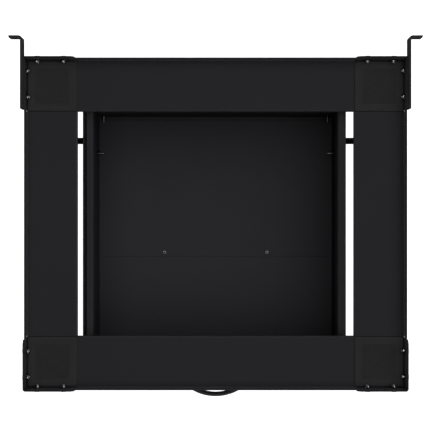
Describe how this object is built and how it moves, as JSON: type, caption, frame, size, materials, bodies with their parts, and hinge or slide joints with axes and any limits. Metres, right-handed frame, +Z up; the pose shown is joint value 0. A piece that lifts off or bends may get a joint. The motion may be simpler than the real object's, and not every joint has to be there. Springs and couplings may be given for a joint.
{
  "type": "firewood log rack",
  "caption": "Low firewood rack: a rimmed steel frame on angle legs with rear wall brackets, and a sliding log drawer with a bow handle below its opening.",
  "frame": {"origin": "centre of the footprint, on the floor under the foot caps", "axes": "+Z up; -Y to the front, where the drawer's handle is; +X to the right seen from the front"},
  "size_m": [0.819, 0.7316, 0.379],
  "materials": {
    "powder_coat": "satin black powder coat on folded sheet steel",
    "corner_pads": "matt, finely textured, with a faint raised border",
    "fasteners": "dull zinc-plated steel",
    "foot_caps": "matt moulded",
    "glides": "smooth low-friction moulding"
  },
  "bodies": {
    "frame": {"board_front": "powder_coat", "board_left": "powder_coat", "board_rear": "powder_coat", "board_right": "powder_coat", "corner_bolt_front_left_1": "fasteners", "corner_bolt_front_left_2": "fasteners", "corner_bolt_front_left_3": "fasteners", "corner_bolt_front_left_4": "fasteners", "corner_bolt_front_right_1": "fasteners", "corner_bolt_front_right_2": "fasteners", "corner_bolt_front_right_3": "fasteners", "corner_bolt_front_right_4": "fasteners", "corner_bolt_rear_left_1": "fasteners", "corner_bolt_rear_left_2": "fasteners", "corner_bolt_rear_left_3": "fasteners", "corner_bolt_rear_left_4": "fasteners", "corner_bolt_rear_right_1": "fasteners", "corner_bolt_rear_right_2": "fasteners", "corner_bolt_rear_right_3": "fasteners", "corner_bolt_rear_right_4": "fasteners", "corner_pad_front_left": "corner_pads", "corner_pad_front_right": "corner_pads", "corner_pad_rear_left": "corner_pads", "corner_pad_rear_right": "corner_pads", "drawer_rail_left": "powder_coat", "drawer_rail_right": "powder_coat", "foot_cap_front_left": "foot_caps", "foot_cap_front_right": "foot_caps", "foot_cap_rear_left": "foot_caps", "foot_cap_rear_right": "foot_caps", "leg_front_left": "powder_coat", "leg_front_right": "powder_coat", "leg_rear_left": "powder_coat", "leg_rear_right": "powder_coat", "rail_spacer_front_left": "powder_coat", "rail_spacer_front_right": "powder_coat", "rail_spacer_rear_left": "powder_coat", "rail_spacer_rear_right": "powder_coat", "side_stretcher_left": "powder_coat", "side_stretcher_right": "powder_coat", "wall_bracket_left": "powder_coat", "wall_bracket_right": "powder_coat"},
    "drawer": {"back_bolt_left": "fasteners", "back_bolt_right": "fasteners", "bow_handle": "powder_coat", "drawer_back": "powder_coat", "drawer_floor_front": "powder_coat", "drawer_floor_rear": "powder_coat", "drawer_front": "powder_coat", "drawer_glide_left": "glides", "drawer_glide_right": "glides", "drawer_side_left": "powder_coat", "drawer_side_right": "powder_coat", "floor_screw_left": "fasteners", "floor_screw_right": "fasteners", "glide_bolt_left": "fasteners", "glide_bolt_right": "fasteners"}
  },
  "joints": [
    {"name": "drawer_slide", "type": "slide", "parent": "frame", "child": "drawer", "axis": [0, -1, 0], "range_m": [0, 0.4]}
  ]
}
